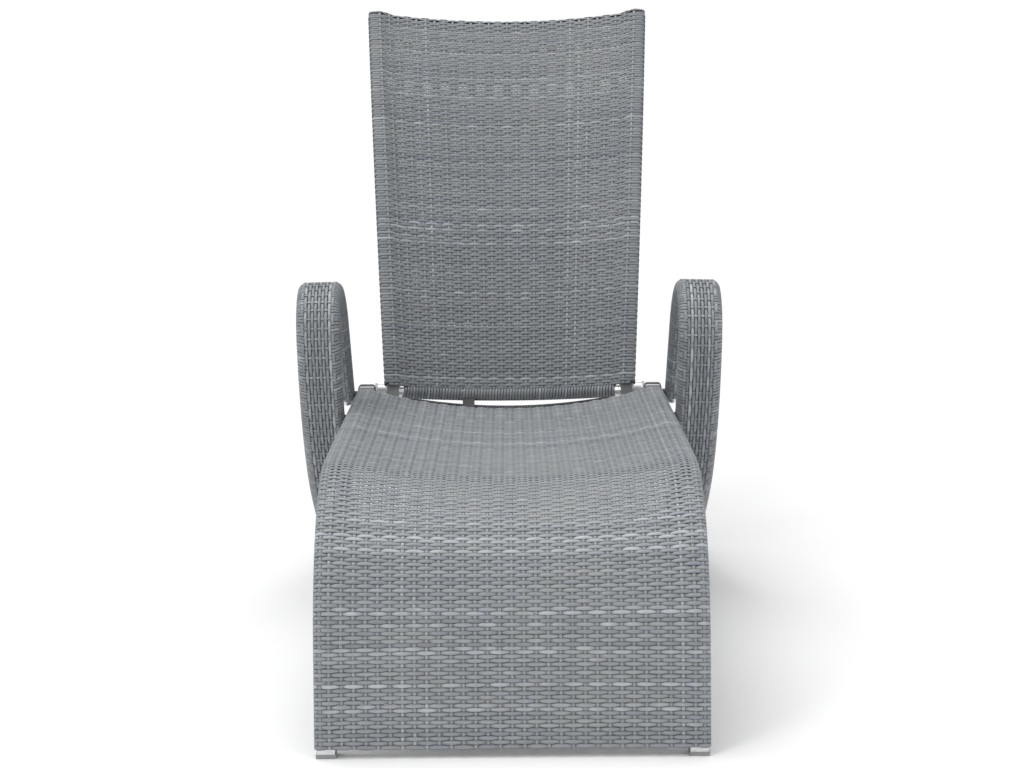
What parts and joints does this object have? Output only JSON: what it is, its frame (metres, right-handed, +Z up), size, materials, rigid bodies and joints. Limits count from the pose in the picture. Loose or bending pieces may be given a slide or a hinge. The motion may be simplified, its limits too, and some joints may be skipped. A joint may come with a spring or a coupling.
{
  "type": "reclining sun lounger",
  "caption": "Garden lounger with a woven seat curving down to a leg rest, band arms on looped legs and a hinged woven back held by a gas strut.",
  "frame": {"origin": "on the floor under the middle of the lounger's box", "axes": "+Z up, +Y from the leg rest towards the backrest, +X to the sitter's left when facing the leg rest"},
  "size_m": [0.7292, 1.6417, 1.0136],
  "materials": {
    "bare_aluminium": "satin",
    "seat_rattan": "woven poly-rattan strands, satin",
    "back_rattan": "woven poly-rattan strands, satin",
    "arm_rattan": "woven poly-rattan strands, satin",
    "wrap_rattan": "wound poly-rattan strands, satin",
    "grey_plastic": "moulded, matte",
    "zinc_steel": "zinc plated",
    "white_nylon": "turned nylon",
    "black_steel": "black powder coat",
    "black_plastic": "moulded, matte",
    "chrome_rod": "ground and polished"
  },
  "bodies": {
    "frame": {"left_rail": "bare_aluminium", "right_rail": "bare_aluminium", "left_rail_wrap": "wrap_rattan", "right_rail_wrap": "wrap_rattan", "rail_end_plugs": "grey_plastic", "foot_cross_tube": "bare_aluminium", "knee_cross_tube": "bare_aluminium", "mid_cross_tube": "bare_aluminium", "seat_rear_tube": "bare_aluminium", "rear_tube_wrap": "wrap_rattan", "seat_weave": "seat_rattan", "front_foot_caps": "grey_plastic", "hinge_tabs": "bare_aluminium", "hinge_bosses": "bare_aluminium", "hinge_tube": "bare_aluminium", "hinge_tube_wrap": "wrap_rattan", "pivot_washers": "white_nylon", "pivot_bushes": "white_nylon", "left_arm_tubes": "bare_aluminium", "right_arm_tubes": "bare_aluminium", "left_arm_ribs": "bare_aluminium", "right_arm_ribs": "bare_aluminium", "left_arm_weave": "arm_rattan", "right_arm_weave": "arm_rattan", "arm_bolts": "zinc_steel", "arm_spacers": "black_plastic", "rear_foot_pads": "grey_plastic", "leg_stretcher": "bare_aluminium", "strut_bracket": "black_steel", "strut_pin": "zinc_steel", "release_clip": "black_steel"},
    "backrest": {"left_back_tube": "bare_aluminium", "right_back_tube": "bare_aluminium", "back_lugs": "bare_aluminium", "pivot_bolts": "zinc_steel", "back_top_tube": "bare_aluminium", "back_upper_tube": "bare_aluminium", "back_lower_tube": "bare_aluminium", "back_bottom_tube": "bare_aluminium", "back_bottom_wrap": "wrap_rattan", "left_back_wrap": "wrap_rattan", "right_back_wrap": "wrap_rattan", "back_weave": "back_rattan", "strut_lever": "black_steel", "lever_pin": "zinc_steel"},
    "strut_rod": {"strut_rod": "chrome_rod", "rod_head": "black_steel", "strut_piston": "black_steel"},
    "strut_cylinder": {"strut_cylinder": "black_steel", "cylinder_gland": "black_steel", "cylinder_eye": "black_steel"},
    "valve": {"valve_pin": "zinc_steel"},
    "release": {"release_shaft": "zinc_steel", "release_finger": "zinc_steel", "release_grip": "black_plastic"}
  },
  "joints": [
    {"name": "backrest_recline", "type": "hinge", "parent": "frame", "child": "backrest", "pos_m": [0, 0.32743, 0.322], "axis": [-1, 0, 0], "range_deg": [0, 32]},
    {"name": "strut_swing", "type": "hinge", "parent": "frame", "child": "strut_rod", "pos_m": [-0.077, -0.01056, 0.269], "axis": [1, 0, 0], "range_deg": [0, 1.9]},
    {"name": "strut_stroke", "type": "slide", "parent": "strut_rod", "child": "strut_cylinder", "axis": [0, -1, 0], "range_m": [0, 0.03786]},
    {"name": "valve_press", "type": "slide", "parent": "strut_rod", "child": "valve", "axis": [0, 1, 0], "range_m": [0, 0.0031]},
    {"name": "release_pull", "type": "hinge", "parent": "frame", "child": "release", "pos_m": [-0.17, -0.03456, 0.269], "axis": [1, 0, 0], "range_deg": [0, 12], "stiffness_Nm_per_rad": 0.8, "springref_deg": -20.05}
  ],
  "couplings": [
    {"joint": "strut_swing", "follows": "backrest_recline", "ratio": 0.05},
    {"joint": "strut_stroke", "follows": "backrest_recline", "m_per_rad": 0.066},
    {"joint": "valve_press", "follows": "release_pull", "m_per_rad": 0.014324}
  ]
}
